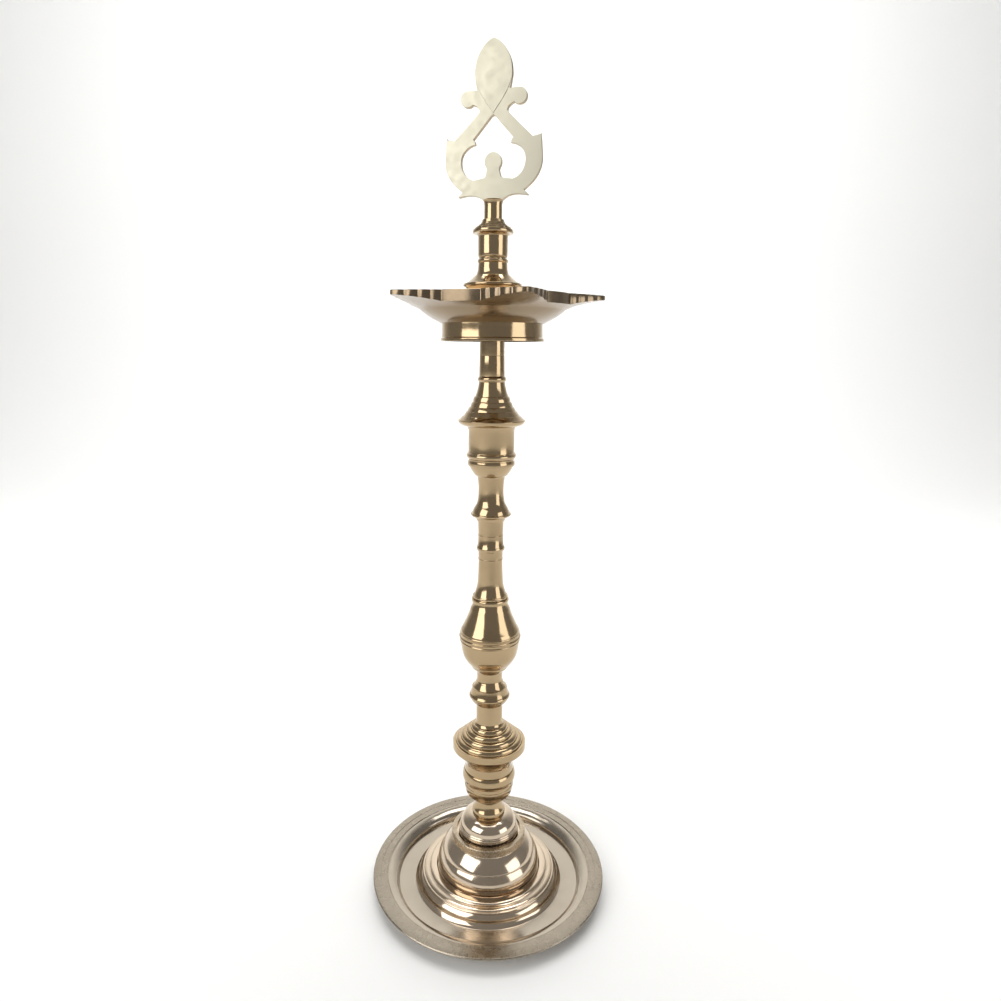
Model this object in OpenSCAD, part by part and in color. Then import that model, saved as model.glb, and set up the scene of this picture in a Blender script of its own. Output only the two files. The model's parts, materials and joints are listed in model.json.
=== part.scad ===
// Standing oil lamp in turned and cast brass: a tray base with a stepped dome, a column in three
// screwed sections, a dish with five wick spouts, a top stem and a flat cut-out finial.
// Millimetres, +Z up. The origin is on the axis, level with the underside of the foot ring.

/* [Base tray] */
// Radius of the tray over its rim
tray_r = 80; // [74:0.5:96]
// Height of the tray's rim above the ground
tray_h = 10.2; // [9:0.2:14]
// Width of the flat rim
rim_w = 10.3; // [7:0.1:12]
// Thickness of the flat rim
rim_t = 1.6; // [1:0.1:2.4]
// Slope length of the wall between rim and floor, measured outwards
tray_wall_w = 7.7; // [6:0.1:9]
// Thickness of the tray floor
floor_t = 2; // [1.4:0.1:2.6]
// Height of the foot ring under the tray floor
foot_h = 1; // [0.6:0.1:2]
// Width of the foot ring
foot_w = 4; // [3:0.1:6]

/* [Stepped dome] */
// Width of the flat floor between the tray's wall and the plinth
floor_w = 11.1; // [9:0.1:14]
// How far the plinth's foot flares out on the tray floor
plinth_flare = 2.6; // [1.6:0.1:3]
// Height of the plinth above the tray floor
plinth_h = 7.8; // [6:0.1:10]
// How far the broad ring on the plinth stands in from the plinth
ring_inset = 7.7; // [7:0.1:9]
// How far the dome stands in from the broad ring
dome_inset = 5.6; // [5:0.1:7]
// Height of the dome above the plinth
dome_h = 24.2; // [21:0.1:29]
// Radius of the seat on top of the dome
seat_r = 22; // [20:0.1:26.4]
// Wall of the ring round the seat
seat_wall = 3.2; // [2.4:0.1:4]
// Height of the seat ring
seat_ring_h = 5; // [4:0.1:7]
// Depth of the seat
seat_depth = 2.4; // [2:0.1:3]
// Wall of the dome casting
shell_t = 2.4; // [1.8:0.1:3]

/* [Dome cap] */
// Gap between the cap and the ring round its seat
cap_gap = 2.7; // [1.6:0.1:3.4]
// How far the lip round the cap stands out
cap_lip = 1.1; // [0.6:0.1:1.4]
// Height of the cap above its seat
cap_h = 15.4; // [14:0.2:19]
// Wall of the cap
cap_t = 2.6; // [2:0.1:3.2]

/* [Lower column] */
// Radius of the bell at the foot of the column
bell_r = 11.2; // [10.8:0.1:12]
// Height of the bell
bell_h = 13; // [11:0.1:16]
// Radius of the neck above the bell
bell_neck_r = 8.9; // [8:0.1:9.4]
// Radius of the drum
drum_r = 16.6; // [15.5:0.1:17.2]
// Height of the drum
drum_h = 27; // [24:0.1:33]
// Radius of the stepped disc
disc_r = 24.5; // [22:0.1:27]
// Thickness of the disc at its edge
disc_edge_h = 4.4; // [3:0.1:5]
// Height of each step on top of the disc
disc_step_h = 3; // [2.4:0.1:3.6]
// Height of the hollow flare under the disc
disc_flare_h = 10.4; // [8:0.1:13]
// Radius of the long neck above the disc
long_neck_r = 8.7; // [8:0.1:9.2]
// Height of the long neck above the disc
long_neck_h = 15.2; // [13:0.1:19]

/* [Baluster] */
// Radius of the ring at the foot of the baluster
foot_ring_r = 13.7; // [12.6:0.1:15]
// Height of that ring
foot_ring_h = 18; // [17:0.1:22]
// Radius of the neck under the bulb
bulb_neck_r = 8.4; // [7.8:0.1:9]
// Largest radius of the bulb
bulb_r = 19.3; // [17.5:0.1:23]
// Height from the bulb's neck to its three fine rings
bulb_low_h = 26.6; // [23:0.1:33]
// Height from the fine rings to the collar
bulb_high_h = 19; // [16:0.1:23]
// Radius of the collar on the bulb's shoulder
collar_r = 11.8; // [11:0.1:12.6]
// Radius of the slender neck above the collar
slender_r = 7.7; // [7.2:0.1:8.2]
// Height of the slender neck
slender_h = 34.6; // [30:0.1:42]

/* [Upper column] */
// Radius of the small ring at the foot of the upper column
joint_ring_r = 8.7; // [8.4:0.1:9.4]
// Radius of the upper column's plain shafts
shaft_r = 7.9; // [7.4:0.1:8.2]
// Height of the plain shaft under the spool
shaft_h = 15.8; // [13:0.1:20]
// Radius of the spool's ring
spool_r = 12.9; // [11.6:0.1:15]
// Height of the spool
spool_h = 27; // [24:0.1:33]
// Radius of the upper drum
upper_drum_r = 14.3; // [13.4:0.1:14.7]
// Height of the upper drum
upper_drum_h = 32.6; // [29:0.1:40]
// Radius of the flared skirt above the drum
skirt_r = 20.6; // [18.6:0.1:24]
// Height of the tapering steps above the skirt
skirt_cone_h = 23.2; // [21:0.1:28]
// Height of the shaft at the top of the column
top_shaft_h = 15.5; // [13.5:0.1:19]

/* [Dish] */
// Radius at the tips of the spouts
spout_r = 66.2; // [61:0.1:74]
// Radius of the dish between two spouts
dish_r = 48.6; // [45:0.1:52]
// Radius of the dish's floor
dish_floor_r = 30.6; // [28:0.1:36.7]
// How far the dish's foot ring stands outside its floor
dish_foot_out = 0.4; // [-2.2:0.1:2.4]
// Depth of the dish from its rim to its underside
dish_h = 16.4; // [14.6:0.1:20]
// Wall of the dish
dish_t = 1.8; // [1.4:0.1:2]
// Height of the rim at a spout's tip
tip_t = 2.4; // [2.1:0.1:3]
// Height at which the side begins to flare
spring_h = 8; // [7:0.1:9]
// Lobes along each side of a spout
lobes = 4; // [3:1:7]
// Depth of a lobe
lobe_d = 0.9; // [0.4:0.1:1.4]
// How sharply a spout narrows to its tip
spout_taper = 1.2; // [1:0.1:1.6]
// Number of wick spouts
spouts = 5; // [3:1:6]
// Share of each side of a spout that is cut into lobes; the rest runs smooth to the next spout
spout_w = 0.62; // [0.4:0.02:0.8]
// Direction of the first spout, anticlockwise from +X
spout_turn = 285; // [0:1:359]
// Height of the dish's foot ring
dish_foot_h = 10.2; // [8:0.1:13]
// Wall of the foot ring
dish_foot_t = 2.2; // [1.8:0.1:3]
// Length of the threaded boss below the foot ring
boss_drop = 8.4; // [6:0.1:11]
// Radius of the boss under the dish
boss_r = 7.5; // [7:0.1:8]

/* [Top stem] */
// Radius of the foot hidden in the dish
stem_foot_r = 18; // [16.8:0.1:20]
// Height of the pedestal up to the flare
pedestal_h = 19.6; // [17:0.1:24]
// Radius of the flare
flare_r = 17.3; // [16:0.1:18]
// Height of the flare
flare_h = 10.6; // [9:0.1:13]
// Radius of the stem's shaft
stem_r = 8.7; // [8.2:0.1:9.2]
// Height of the stem's shaft with its ring
stem_h = 18.7; // [16.5:0.1:23]
// Radius of the disc at the top of the stem
cap_disc_r = 11.9; // [11:0.1:13.4]
// Radius of the pin that carries the finial
pin_r = 5.2; // [4.9:0.1:5.8]
// Height of the steps and pin above the disc's underside
pin_h = 18.4; // [16.6:0.1:22]

/* [Finial] */
// Thickness of the finial plate
plate_t = 3.2; // [2.4:0.1:4]
// Height of the finial plate above the pin
plate_h = 83.5; // [69.6:0.1:98]
// Turn of the plate about the lamp's axis, clockwise from above
plate_turn = 15; // [0:1:180]
// Half width of the leaf
leaf_r = 11.2; // [9.5:0.1:12]
// How far the leaf stands out of the plate on each face
leaf_proud = 0.3; // [0.2:0.05:0.6]
// Radius of the two knobs beside the leaf
knob_r = 4.3; // [3.6:0.1:5]
// Outside radius of the open ring, measured sideways
ring_r = 28.4; // [25:0.1:33]
// Inside radius of the open ring, measured sideways
ring_hole_r = 18.9; // [17:0.1:20.6]
// Radius of the head on the post in the middle
post_head_r = 5; // [4:0.1:6]
// Depth of the tang in its slot
tang_h = 7; // [5:0.1:9]
// Width of the tang
tang_w = 6; // [4:0.1:7]

/* [Studs and nut] */
// Radius of the stud through the base
base_stud_r = 4; // [3.5:0.1:4.8]
// Radius of the studs between the sections
stud_r = 3; // [2.5:0.1:3.4]
// Length of thread that holds each stud in the piece below it
grip = 9; // [8:0.5:11]
// Length of each stud in the piece above it
hold = 12; // [10:0.5:13]
// Radial clearance between a stud and its thread
thread_fit = 0.05; // [0.02:0.01:0.09]
// Radial clearance of a hole that a stud only passes through
pass_fit = 0.3; // [0.2:0.05:0.5]
// Clearance between the stem's foot and the dish's floor
seat_fit = 0.01; // [0.01:0.01:0.1]
// Free depth left beyond the end of a stud
run_out = 1.5; // [1:0.1:3]
// Width of the nut across its flats
nut_w = 13; // [12:0.5:16]
// Thickness of the nut
nut_h = 6.5; // [5:0.1:8]
// Outside radius of the washer
washer_r = 9; // [8.5:0.1:12]
// Thickness of the washer
washer_h = 1.4; // [1:0.1:2]

/* [Hidden] */

// Facets round a full turn, steps along one curved moulding and the width of a scribed line
$fn = 128;
curve_steps = 7;
lobe_points = 3;
valley_points = 5;
line_w = 0.5;
line_d = 0.25;
// Height of a small square fillet, and height and swell of a small round bead
fillet_h = 0.6;
bead_h = 1.4;
bead_d = 0.35;
// Height of one fine ring on the bulb, with the flat above it
fine_h = 2.6;
fine_rings = 3;
disc_steps = 4;
joint_ring_h = 3.4;
skirt_h = 3.4;
// A cut runs this far past the face it opens
past = 1;
// Mark of the one moulding in a section that takes the height the others leave
rest = undef;

pale_brass = [0.80, 0.74, 0.64];
warm_brass = [0.68, 0.55, 0.34];
dark_brass = [0.45, 0.36, 0.22];
cream_brass = [0.86, 0.82, 0.68];
steel = [0.62, 0.63, 0.65];

// Radii of the base that follow from the tray's
rim_in_r = tray_r - rim_w;
floor_r = rim_in_r - tray_wall_w;
plinth_r = floor_r - floor_w - plinth_flare;
plinth_ring_r = plinth_r - ring_inset;
dome_r = plinth_ring_r - dome_inset;
seat_ring_r = seat_r + seat_wall;
cap_r = seat_r - cap_gap;
dish_foot_r = dish_floor_r + dish_foot_out;

// Heights of the joint faces, from the ground up
floor_z = foot_h + floor_t;
plinth_z = floor_z + plinth_h;
dome_top_z = plinth_z + dome_h;
seat_top_z = dome_top_z + seat_ring_h;
seat_z = seat_top_z - seat_depth;
cap_top_z = seat_z + cap_h;
disc_cone_h = disc_steps * disc_step_h;
baluster_z = cap_top_z + bell_h + drum_h + disc_flare_h + disc_edge_h + disc_cone_h + long_neck_h;
baluster_h = foot_ring_h + bulb_low_h + fine_rings * fine_h + bulb_high_h + slender_h;
upper_column_z = baluster_z + baluster_h;
upper_column_h = joint_ring_h + shaft_h + spool_h + upper_drum_h + skirt_h + skirt_cone_h + top_shaft_h;
boss_z = upper_column_z + upper_column_h;
dish_z = boss_z + boss_drop + dish_foot_h;
dish_floor_z = dish_z + dish_t;
stem_z = dish_floor_z + seat_fit;
pin_top_z = stem_z + pedestal_h + flare_h + stem_h + pin_h;

// Undersides of the washer and of the nut below the dome's crown
washer_z = seat_z - shell_t - washer_h;
nut_z = washer_z - nut_h;

// Mouldings of a turned piece, from the bottom up. Each is [kind, height, end radius, swell]:
// "line" is straight, "bow" swells out or in at its middle, "rise" leaves upright and ends flat,
// and "spread" leaves flat and ends upright.
function moulding(r, z, m) =
    let (h = m[1], d = m[2] - r, kind = m[0], n = kind == "line" ? 1 : curve_steps)
    [for (i = [1:n]) let (t = i / n, a = 90 * t)
        kind == "bow" ? [r + d * t + 4 * m[3] * t * (1 - t), z + h * t]
        : kind == "rise" ? [r + d * (1 - cos(a)), z + h * sin(a)]
        : kind == "spread" ? [r + d * sin(a), z + h * (1 - cos(a))]
        : [r + d * t, z + h * t]];

function turned(r, z, ms, i = 0) =
    i == len(ms) ? []
    : concat(moulding(r, z, ms[i]), turned(ms[i][2], z + ms[i][1], ms, i + 1));

function total(ms, i = 0) = i == len(ms) ? 0 : (ms[i][1] == rest ? 0 : ms[i][1]) + total(ms, i + 1);

// Mouldings that fill height h: the one marked rest takes what the others leave
function section(h, ms) = [for (m = ms) m[1] == rest ? [m[0], h - total(ms), m[2], m[3]] : m];

// A square fillet, a round bead and a scribed line, each of them standing on radius r
function fillet(r, out) = [["line", 0, r + out], ["line", fillet_h, r + out], ["line", 0, r]];
function bead(r) = [["bow", bead_h, r, bead_d]];
function scribed(r) = [["line", 0, r - line_d], ["line", line_w, r - line_d], ["line", 0, r]];

// A solid turned piece that stands at height z with foot radius r
module turned_piece(z, r, ms) {
    outline = turned(r, z, ms);
    top = outline[len(outline) - 1];
    rotate_extrude()
        polygon(concat([[0, z], [r, z]], outline, [[0, top[1]]]));
}

// Blind thread in the foot of a piece, and in its head
module socket_up(z, r, depth) {
    translate([0, 0, z - past])
        cylinder(r = r + thread_fit, h = depth + run_out + past);
}

module socket_down(z, r, depth) {
    translate([0, 0, z - depth - run_out])
        cylinder(r = r + thread_fit, h = depth + run_out + past);
}

module stud(r, z_low, z_high) {
    chamfer = r * 0.2;
    rotate_extrude()
        polygon([[0, z_low], [r - chamfer, z_low], [r, z_low + chamfer],
                 [r, z_high - chamfer], [r - chamfer, z_high], [0, z_high]]);
}

module base_tray() {
    rim_step = 0.3;
    rim_mid_r = tray_r - rim_w / 2;
    rim_low_z = tray_h - rim_t;
    skirt_in_r = plinth_r - shell_t;
    ring_drop = 1.8;
    groove = 0.8;
    shoulder_r = seat_ring_r + 0.3;
    line_z = plinth_z + dome_h * 0.62;
    outside = concat(
        [[floor_r, 0], [floor_r + 1, foot_h]],
        [for (i = [1:curve_steps]) let (a = 90 * i / curve_steps)
            [floor_r + 1 + (tray_wall_w + 1) * sin(a), foot_h + (rim_low_z - foot_h) * (1 - cos(a))]],
        [[tray_r - 0.5, rim_low_z], [tray_r, rim_low_z + 0.5], [tray_r, tray_h - 0.5],
         [tray_r - 0.5, tray_h], [rim_mid_r, tray_h], [rim_mid_r, tray_h - rim_step],
         [rim_in_r + 0.5, tray_h - rim_step]],
        [for (i = [0:curve_steps]) let (a = 90 * i / curve_steps)
            [rim_in_r - tray_wall_w * sin(a), floor_z + (tray_h - 0.8 - floor_z) * cos(a)]]);
    plinth = turned(plinth_r + plinth_flare, floor_z, [
        ["bow", 3, plinth_r, -0.4], ["bow", plinth_h - 4, plinth_r - 2.2, 0.5], ["rise", 1, plinth_r - 3, 0],
        ["line", 0, plinth_r - 3.6], ["line", 0.3, plinth_r - 3.7],
        ["rise", 0.9, plinth_r - 6, 0], ["line", 0, plinth_r - 6.6],
        ["line", 0.3, plinth_ring_r], ["rise", 1.1, plinth_ring_r - 1.6, 0],
        ["line", 0, dome_r + 0.9], ["line", -ring_drop, dome_r + 0.3], ["line", 0, dome_r - groove]]);
    dome_z = plinth_z + 2.6 - ring_drop;
    low_h = line_z - dome_z;
    high_h = dome_top_z - line_z - line_w;
    dome = turned(dome_r - groove, dome_z, concat(
        [["bow", low_h, dome_r - 3.2, 1.9]], scribed(dome_r - 3.2),
        [["bow", high_h, shoulder_r, 0.8], ["line", 0, seat_ring_r],
         ["line", seat_ring_h - fillet_h, seat_ring_r], ["rise", fillet_h, seat_ring_r - fillet_h, 0],
         ["line", 0, seat_r], ["line", -seat_depth, seat_r]]));
    inside = [[base_stud_r + pass_fit, seat_z], [base_stud_r + pass_fit, seat_z - shell_t],
              [seat_r, seat_z - shell_t], [dome_r - 3.2 - shell_t, line_z - shell_t / 2],
              [dome_r - shell_t, plinth_z + dome_h * 0.3], [dome_r - shell_t, plinth_z],
              [plinth_ring_r - shell_t, plinth_z - shell_t / 2], [skirt_in_r - 2, plinth_z - shell_t],
              [skirt_in_r, floor_z], [skirt_in_r, foot_h], [floor_r - foot_w, foot_h],
              [floor_r - foot_w, 0]];
    color(pale_brass)
        rotate_extrude()
            polygon(concat(outside, [[plinth_r + plinth_flare, floor_z]], plinth, dome, inside));
}

module dome_cap() {
    lip_z = 1.3;
    lip_h = 2.9;
    outside = turned(cap_r, seat_z, section(cap_h, concat(
        [["line", lip_z, cap_r], ["line", 0, cap_r + cap_lip], ["line", lip_h, cap_r + cap_lip],
         ["line", 0, cap_r + 0.4]], bead(cap_r + 0.2), bead(cap_r),
        [["rise", rest, bell_r - 1.2, 0]])));
    inner_r = cap_r - cap_t;
    inner_top = cap_top_z - cap_t;
    hollow = [for (i = [0:curve_steps]) let (a = 90 * i / curve_steps)
        [base_stud_r + pass_fit + (inner_r - base_stud_r - pass_fit) * sin(a),
         seat_z + lip_z + lip_h + (inner_top - seat_z - lip_z - lip_h) * cos(a)]];
    color(pale_brass)
        rotate_extrude()
            polygon(concat([[inner_r, seat_z], [cap_r, seat_z]], outside,
                           [[base_stud_r + pass_fit, cap_top_z]], hollow));
}

module lower_column() {
    step_w = (disc_r - 1 - long_neck_r - 1.4) / disc_steps;
    bell = section(bell_h, concat(
        [["bow", 1.2, bell_r, 0.1], ["bow", 2.4, bell_r - 0.2, 0.1], ["bow", rest, bell_neck_r, -0.4],
         ["line", 1.6, bell_neck_r]],
        fillet(bell_neck_r, 0.4), bead(bell_neck_r + 0.2)));
    drum = section(drum_h, concat(
        [["line", 0, drum_r - 5.2], ["bow", 4, drum_r - 1.2, 0.8], ["bow", 6, drum_r, 0.3],
         ["line", 0, drum_r - 0.3], ["line", 2.4, drum_r - 0.3], ["line", 0, drum_r + 0.1],
         ["bow", 8.4, drum_r + 0.2, 1.1], ["line", 0, drum_r]],
        scribed(drum_r - 0.1), [["line", rest, drum_r - 0.1], ["line", 0, drum_r + 0.3]]));
    flare = section(disc_flare_h, [["bow", rest, disc_r - 0.9, -0.9], ["bow", 1, disc_r, 0.1]]);
    edge = [["bow", disc_edge_h, disc_r - 0.2, 0.1]];
    steps = [for (i = [1:disc_steps], m = [
        ["line", 0, disc_r - 1 - step_w * (i - 0.7)],
        ["rise", disc_step_h, disc_r - 1 - step_w * i, 0]]) m];
    neck = section(long_neck_h, [["line", 0, long_neck_r + 1.2], ["bow", 2.2, long_neck_r, -0.2],
                                 ["line", rest, long_neck_r]]);
    color(warm_brass)
        difference() {
            turned_piece(cap_top_z, bell_r - 0.8, concat(bell, drum, flare, edge, steps, neck));
            socket_up(cap_top_z, base_stud_r, hold);
            socket_down(baluster_z, stud_r, grip);
        }
}

module baluster() {
    ring = section(foot_ring_h, [
        ["bow", 4, foot_ring_r - 1.2, 0.5], ["bow", 3.4, foot_ring_r - 1, 0.9],
        ["bow", 4.6, foot_ring_r - 2.2, -0.1], ["line", 0, foot_ring_r - 2.8],
        ["bow", 4, bulb_neck_r + 0.5, -0.2], ["bow", rest, bulb_neck_r, -0.1]]);
    bulb_low = section(bulb_low_h, [
        ["bow", 5, bulb_neck_r + 0.3, -0.1], ["bow", 2.8, bulb_neck_r + 2.6, -0.3],
        ["line", 0, bulb_neck_r + 3.2], ["bow", 2.4, bulb_r - 6.5, 0.2], ["line", 0, bulb_r - 6.1],
        ["bow", 9, bulb_r - 1.1, 0.8], ["bow", rest, bulb_r, 0.1]]);
    fine = [for (i = [1:fine_rings], m = [
        ["bow", bead_h, bulb_r, i == 2 ? 0.8 : bead_d], ["line", fine_h - bead_h, bulb_r - 0.1 * i]]) m];
    bulb_high = section(bulb_high_h, [
        ["bow", rest, collar_r + 0.9, -0.5], ["bow", 4.2, collar_r - 0.5, -0.2]]);
    slender = section(slender_h, concat(
        [["line", 0, collar_r], ["bow", 2.6, collar_r, 0.3], ["line", 0, collar_r - 0.9],
         ["line", fillet_h, collar_r - 1.2], ["line", 0, collar_r - 0.6],
         ["bow", bead_h, collar_r - 0.7, 0.2], ["line", 0, collar_r - 1.2],
         ["bow", 10, slender_r + 0.5, -0.5], ["bow", rest, slender_r, -0.1]],
        fillet(slender_r, 0.25), [["line", 5, slender_r + 0.2], ["line", 0.6, joint_ring_r - 0.4]]));
    color(warm_brass)
        difference() {
            turned_piece(baluster_z, foot_ring_r - 4.2, concat(ring, bulb_low, fine, bulb_high, slender));
            socket_up(baluster_z, stud_r, hold);
            socket_down(upper_column_z, stud_r, grip);
        }
}

module upper_column() {
    ring = section(joint_ring_h, [["bow", rest, joint_ring_r, 0.3], ["line", 1, shaft_r + 0.3]]);
    shaft = section(shaft_h, concat(
        [["line", 6, shaft_r]], fillet(shaft_r, 0.25), [["line", rest, shaft_r + 0.3]]));
    spool = section(spool_h, [
        ["line", 0, spool_r - 4], ["bow", 2.6, spool_r - 3.1, 0.1], ["line", 0, spool_r - 1.8],
        ["bow", 2.4, spool_r - 0.6, 1], ["line", 0, spool_r - 1.2], ["bow", 4.4, spool_r - 3.1, 0.3],
        ["bow", 3, shaft_r + 0.6, -0.1], ["bow", rest, shaft_r + 0.6, -0.6]]);
    drum = section(upper_drum_h, [
        ["rise", 2.2, upper_drum_r - 4, 0], ["bow", 6, upper_drum_r - 0.4, 0.3],
        ["line", 0, upper_drum_r + 0.2], ["bow", 3, upper_drum_r + 0.2, 0.2],
        ["line", 0, upper_drum_r - 0.1], ["line", 1.2, upper_drum_r - 0.1], ["bow", 4, upper_drum_r, 1.2],
        ["line", rest, upper_drum_r - 0.1], ["bow", 2.6, upper_drum_r + 0.9, 0]]);
    skirt = [["spread", skirt_h, skirt_r, 0]];
    cone = section(skirt_cone_h, [
        ["line", 0.3, skirt_r], ["bow", 2.5, skirt_r - 2.8, -0.2], ["line", 0, skirt_r - 3.3],
        ["bow", 2.8, skirt_r - 5.2, 0], ["line", 0, skirt_r - 5.7], ["bow", 2.6, skirt_r - 7, 0.1],
        ["line", 0, skirt_r - 7.5], ["bow", 3, skirt_r - 8.6, 0.1], ["line", 0, skirt_r - 9.1],
        ["bow", 3.2, skirt_r - 9.9, 0.2], ["line", 0, skirt_r - 10.4], ["bow", rest, shaft_r, -0.3]]);
    top = section(top_shaft_h, [
        ["bow", 3.4, shaft_r - 0.2, 0.8], ["line", fillet_h, boss_r + 0.3], ["line", rest, boss_r]]);
    color(warm_brass)
        difference() {
            turned_piece(upper_column_z, joint_ring_r, concat(ring, shaft, spool, drum, skirt, cone, top));
            socket_up(upper_column_z, stud_r, hold);
            socket_down(boss_z, stud_r, grip);
        }
}

// Plan of the dish: each spout runs to a point, and its sides are cut into small lobes.
// Place u runs from 0 at a spout's tip to 1 halfway to the next spout, and the inset moves
// the whole plan towards the axis.
spout_half = 180 / spouts;
spout_points = lobes * lobe_points;
plan_u = concat([for (i = [0:spout_points]) spout_w * i / spout_points],
                [for (i = [1:valley_points]) spout_w + (1 - spout_w) * i / valley_points]);
function plan_r(u) = let (v = min(u / spout_w, 1))
    dish_r + (spout_r - dish_r) * pow(1 - v, spout_taper) + lobe_d * abs(sin(180 * lobes * v));
function plan_point(a, r) = [r * cos(a), r * sin(a)];

module dish_plan(inset) {
    last = len(plan_u) - 1;
    polygon([for (k = [0:spouts - 1])
        let (tip = 2 * spout_half * k)
        each concat([for (i = [last:-1:1])
                        plan_point(tip - spout_half * plan_u[i], plan_r(plan_u[i]) - inset)],
                    [for (i = [0:last - 1])
                        plan_point(tip + spout_half * plan_u[i], plan_r(plan_u[i]) - inset)])]);
}

// Side of the dish as radius and height over its underside, raised by the wall for its inside:
// a round bowl up to where the spouts spring, then a flare out to their tips
spring_r = dish_floor_r + (dish_r - dish_floor_r) * 0.7;
function dish_side(lift) =
    let (w = spring_r - dish_floor_r, top = dish_h - tip_t + lift,
         foot = [dish_floor_r - lift / 2, lift], spring = [spring_r, spring_h + lift])
    concat([foot],
           curve(foot, foot + [w * 0.18, 1.4], [dish_floor_r + w * 0.63, spring_h * 0.45 + lift], spring, 4),
           curve(spring, spring + [4.4, 2.4], [dish_r + 7, top - 1.2], [spout_r + past, top], 5));

// The space within the side and the rim's plan
module dish_body(inset, lift, top) {
    intersection() {
        translate([0, 0, dish_z])
            linear_extrude(top)
                dish_plan(inset);
        rotate_extrude()
            translate([0, dish_z])
                polygon(concat([[0, lift]], dish_side(lift),
                               [[spout_r + past, top + past], [0, top + past]]));
    }
}

module dish() {
    foot_z = dish_z - dish_foot_h;
    foot_lip_h = 1.6;
    foot_waist = 0.9;
    joined_z = dish_z + dish_t / 4;
    color(dark_brass)
        difference() {
            union() {
                rotate([0, 0, spout_turn])
                    difference() {
                        dish_body(0, 0, dish_h);
                        dish_body(dish_t, dish_t, dish_h + past);
                    }
                rotate_extrude()
                    polygon([[dish_foot_r - dish_foot_t, foot_z], [dish_foot_r, foot_z],
                             [dish_foot_r, foot_z + foot_lip_h],
                             [dish_foot_r - foot_waist, foot_z + foot_lip_h + fillet_h],
                             [dish_foot_r - foot_waist, dish_z - 1.4], [dish_floor_r - 0.4, joined_z],
                             [dish_foot_r - dish_foot_t, joined_z]]);
                translate([0, 0, boss_z])
                    cylinder(r = boss_r, h = joined_z - boss_z);
            }
            translate([0, 0, boss_z - past])
                cylinder(r = stud_r + pass_fit, h = dish_floor_z - boss_z + 2 * past);
        }
}

module top_stem() {
    drum_in_r = stem_foot_r - 3;
    pedestal = section(pedestal_h, [
        ["line", 1.6, stem_foot_r], ["spread", 1.4, drum_in_r, 0], ["line", rest, drum_in_r],
        ["rise", 3, flare_r, 0]]);
    flare = section(flare_h, [
        ["bow", 1.4, flare_r - 0.3, 0.2], ["line", 0, flare_r - 1], ["bow", 4.6, stem_r + 1.9, -0.4],
        ["line", 0, stem_r + 1.3], ["bow", rest, stem_r, -0.3]]);
    shaft = section(stem_h, [
        ["line", 2.4, stem_r - 0.2], ["bow", 2.4, stem_r - 0.4, 0.6], ["line", fillet_h, stem_r - 0.6],
        ["spread", 2.4, stem_r, 0], ["line", rest, stem_r], ["rise", 1.8, stem_r + 1.9, 0]]);
    pin = section(pin_h, [
        ["line", 0, cap_disc_r - 0.3], ["bow", 2.2, cap_disc_r - 0.3, 0.3], ["line", 0, cap_disc_r - 0.9],
        ["line", 1.2, cap_disc_r - 1.4], ["line", 0, pin_r + 3.6], ["line", 1.4, pin_r + 3.2],
        ["line", 0, pin_r + 2.2], ["line", 1.2, pin_r + 1.9], ["line", 0, pin_r + 1.4],
        ["line", 1.6, pin_r + 1.3], ["line", 0, pin_r + 0.1], ["line", rest, pin_r],
        ["rise", 3.6, pin_r + 1.1, 0]]);
    color(warm_brass)
        difference() {
            turned_piece(stem_z, stem_foot_r, concat(pedestal, flare, shaft, pin));
            socket_up(stem_z, stud_r, hold);
            rotate([0, 0, -plate_turn])
                tang(past);
        }
}

// The finial's tang, or the slot for it when it is made longer
module tang(longer) {
    translate([-tang_w / 2, -plate_t / 2, pin_top_z - tang_h])
        cube([tang_w, plate_t, tang_h + longer]);
}

// Points of a cubic curve from p to s with handles q and r, without the first point
function curve(p, q, r, s, n = 7) =
    [for (i = [1:n]) let (t = i / n, u = 1 - t)
        u * u * u * p + 3 * u * u * t * q + 3 * u * t * t * r + t * t * t * s];

function mirrored(pts) = [for (i = [len(pts) - 1:-1:0]) [-pts[i][0], pts[i][1]]];

// The finial's plate, drawn in its own plane with the foot of the plate at height 0
module plate_outline() {
    top = plate_h;
    leaf_low = top - 27;
    knob = [leaf_r + 3.7, top - 29.9];
    arm_top = [8.4, top - 37.4];
    notch = [ring_r - 5.6, top - 51.2];
    wing = [ring_r - 1.1, top - 50.3];
    side = [ring_r, top - 62.4];
    low_notch = [ring_r - 10.2, 4.7];
    spike = [ring_r - 8, 1.8];
    foot = [pin_r + 0.8, 0];
    half = concat(
        curve(foot, foot + [3, 2.2], [12, 3.6], spike),
        [spike + [0.4, 0.5]], [low_notch],
        curve(low_notch, low_notch + [5, 3.6], side - [0, 8], side),
        curve(side, side + [0, 4], wing - [0.1, 4], wing),
        [notch],
        curve(notch, notch + [-4, 4], arm_top + [3.4, -4], arm_top, 5),
        curve(arm_top, arm_top + [-1, 1.4], knob + [-5.4, -3.6], knob + [-2.9, -3.1], 4));
    knob_arc = [for (i = [0:10]) let (a = -120 + 22 * i) knob + knob_r * [cos(a), sin(a)]];
    leaf = concat(
        [[leaf_r - 1.9, leaf_low + 1.2]],
        curve([leaf_r - 1.9, leaf_low + 1.2], [leaf_r - 1.3, leaf_low + 2.6],
              [leaf_r - 0.9, top - 21.6], [leaf_r - 0.6, top - 20], 4),
        curve([leaf_r - 0.6, top - 20], [leaf_r + 0.6, top - 9], [5.2, top - 1.6], [0, top], 10));
    right = concat([foot], half, knob_arc, leaf);
    polygon(concat(right, mirrored([for (i = [0:len(right) - 2]) right[i]])));
}

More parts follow.
